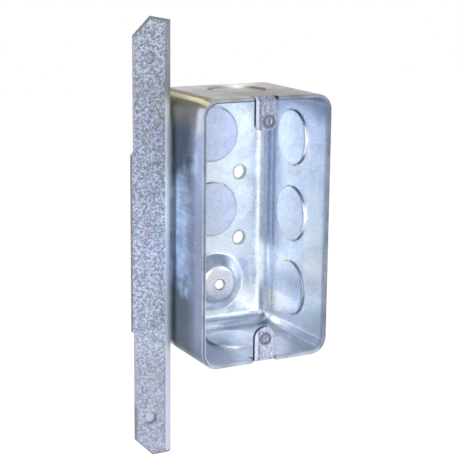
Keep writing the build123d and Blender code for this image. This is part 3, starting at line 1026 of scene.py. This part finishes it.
# %% Thread ridge
THREAD_PITCH = 0.794 * MM
THREAD_DEPTH = 0.43 * MM
THICKNESS = SHEET * MM
STEPS_PER_TURN = 48
SPARE_TURNS = 0.3
FADE_TURNS = 0.25
LEAST_RISE = 0.06
FOOT_HALF_WIDTH = 0.44
CREST_HALF_WIDTH = 0.07
FOOT_SINK = 0.1
FACE_GAP = 0.02 * MM


def thread_ridge(name, centre, front, hole_radius):
    """A ridge along a helix in a hole that runs along Y.

    The angle grows with the turn and the ridge moves back by one pitch per turn.
    The section is a low triangle with a narrow crest; its height fades out over a quarter turn at both ends,
    and whatever would leave the sheet is pressed flat against the sheet's two faces.
    """
    turns = THICKNESS / THREAD_PITCH - SPARE_TURNS
    turn_count = np.linspace(0.0, turns, int(turns * STEPS_PER_TURN) + 1)[:, None]
    angle = 2.0 * np.pi * turn_count
    rise = np.clip(np.minimum(turn_count, turns - turn_count) / FADE_TURNS, LEAST_RISE, 1.0)
    section = np.array([-FOOT_HALF_WIDTH, -CREST_HALF_WIDTH, CREST_HALF_WIDTH, FOOT_HALF_WIDTH])
    heights = np.array([-FOOT_SINK, 1.0, 1.0, -FOOT_SINK])
    radius = hole_radius - heights * THREAD_DEPTH * rise
    depth = (turn_count + SPARE_TURNS / 2) * THREAD_PITCH + section * THREAD_PITCH * rise
    depth = np.clip(depth, FACE_GAP, THICKNESS - FACE_GAP)
    across = centre[0] + radius * np.cos(angle)
    upright = centre[1] + radius * np.sin(angle)
    points = np.stack([across, front + depth, upright], -1)
    rows, loop = points.shape[:2]
    row, column = np.meshgrid(np.arange(rows - 1), np.arange(loop), indexing="ij")
    beside = (column + 1) % loop
    here = row * loop
    after = here + loop
    sides = np.stack([here + column, after + column, after + beside, here + beside], -1).reshape(-1, 4)
    ends = np.array([np.arange(loop), np.arange(loop)[::-1] + (rows - 1) * loop])
    mesh = bpy.data.meshes.new(name)
    mesh.from_pydata(points.reshape(-1, 3).tolist(), [], np.concatenate([sides, ends]).tolist())
    piece = bpy.data.objects.new(name, mesh)
    bpy.context.scene.collection.objects.link(piece)
    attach(piece, "root")
    return piece


print("%.2f turns in the sheet" % (THICKNESS / THREAD_PITCH - SPARE_TURNS))

# %% [markdown]
# A tap cuts clean steel, which is darker than zinc and has fine marks along the cut.
# A noise that is squeezed along the hole gives these marks,
# and it drives the tone, the roughness and the bump together.

# %% Threads
EAR_HOLE_RADIUS = EAR_SIZES["hole_r_mm"]
GROUND_HOLE_RADIUS = GROUND_SIZES["r_mm"]
THREADS = (
    ("top_ear_thread", (0.0, SCREW_HALF_SPAN), 0.0, EAR_HOLE_RADIUS),
    ("bottom_ear_thread", (0.0, -SCREW_HALF_SPAN), 0.0, EAR_HOLE_RADIUS),
    ("ground_thread", (BOSS_X, BOSS_Z), BOSS_FACE_Y, GROUND_HOLE_RADIUS),
)
tapped_steel, tree, shader, place = finish_material("tapped_steel", metallic=0.9)
cut = noise(tree, stretched(tree, place, (1.0, 6.0, 1.0)), 0.8 * MM)
tone = mixed(tree, cut, (0.16, 0.17, 0.20), (0.42, 0.44, 0.50))
coat(tree, shader, tone, changed(tree, 0.25, 0.2, cut), cut, strength=0.4, depth=0.03 * MM)
for name, centre, front, hole_radius in THREADS:
    ridge = thread_ridge(name, np.multiply(centre, MM), front * MM, hole_radius * MM)
    ridge.data.materials.append(tapped_steel)
    print(name, len(ridge.data.polygons), "faces")

# %% [markdown]
# ## The studio
# The picture has a plain white ground. A white sweep needs strong lamps of its own in a real studio.
# Here the floor and the world are white only where they are looked at, straight or in a reflection,
# so the light on the box stays at a plain level and the floor still takes its shadow.

# %% Floor
FLOOR_LEVEL = -0.34
FLOOR_REACH = 3.0
FLOOR_GLOW = 0.62
WHITE = (1.0, 1.0, 1.0)
corners = np.array([(-1, -1), (1, -1), (1, 1), (-1, 1)]) * FLOOR_REACH
floor_mesh = bpy.data.meshes.new("floor")
floor_mesh.from_pydata(np.column_stack([corners, np.full(4, FLOOR_LEVEL)]).tolist(), [], [(0, 1, 2, 3)])
floor = bpy.data.objects.new("floor", floor_mesh)
bpy.context.scene.collection.objects.link(floor)


def seen_directly(tree):
    """1 for what is seen straight, in a reflection or through a gap, and 0 for light that scatters."""
    path = add(tree, "ShaderNodeLightPath").outputs
    return either(tree, path["Is Camera Ray"], path["Is Glossy Ray"], path["Is Transmission Ray"])


floor_paint, tree, shader, place = finish_material("floor_paint", metallic=0.0)
feed(tree, shader.inputs["Base Color"], (0.8, 0.8, 0.8))
feed(tree, shader.inputs["Roughness"], 0.9)
feed(tree, shader.inputs["Emission Color"], WHITE)
feed(tree, shader.inputs["Emission Strength"], both(tree, seen_directly(tree), FLOOR_GLOW))
floor_mesh.materials.append(floor_paint)
print("floor at %.2f m" % FLOOR_LEVEL)

# %% [markdown]
# The world is the white of the room: full where it is seen, and weaker as light on the part,
# so that the two lamps still shape it.

# %% World
SCATTERED = 0.45
world = bpy.data.worlds.new("studio")
bpy.context.scene.world = world
world.use_nodes = True
tree = world.node_tree
sky = tree.nodes["Background"]
feed(tree, sky.inputs["Color"], WHITE)
feed(tree, sky.inputs["Strength"], changed(tree, SCATTERED, 1.0 - SCATTERED, seen_directly(tree)))
print("world gives %.2f of its light" % SCATTERED)

# %% [markdown]
# Two soft lamps stand in front of the box, the stronger one on the left, so that light falls into the mouth
# and on the right wall, as it does in the picture.

# %% Lamps
LAMP_AIM = Vector((0.0, 0.02, 0.0))


def softbox(name, place, width, watts):
    """A square lamp at a place, turned so that it looks at the box; the camera doesn't see it."""
    lamp = bpy.data.lights.new(name, "AREA")
    lamp.size = width
    lamp.energy = watts
    made = bpy.data.objects.new(name, lamp)
    made.location = place
    made.rotation_euler = (LAMP_AIM - Vector(place)).to_track_quat("-Z", "Y").to_euler()
    made.visible_camera = False
    bpy.context.scene.collection.objects.link(made)
    print(name, "lamp of", watts, "W")


softbox("key", (-0.40, -0.95, 0.20), width=0.7, watts=5.0)
softbox("fill", (0.95, -0.45, 0.05), width=0.6, watts=2.0)
bpy.context.scene.view_settings.view_transform = "Standard"

# %% [markdown]
# ## The end
# Dressing must not change the object.

# %% End
print("end of the lesson")
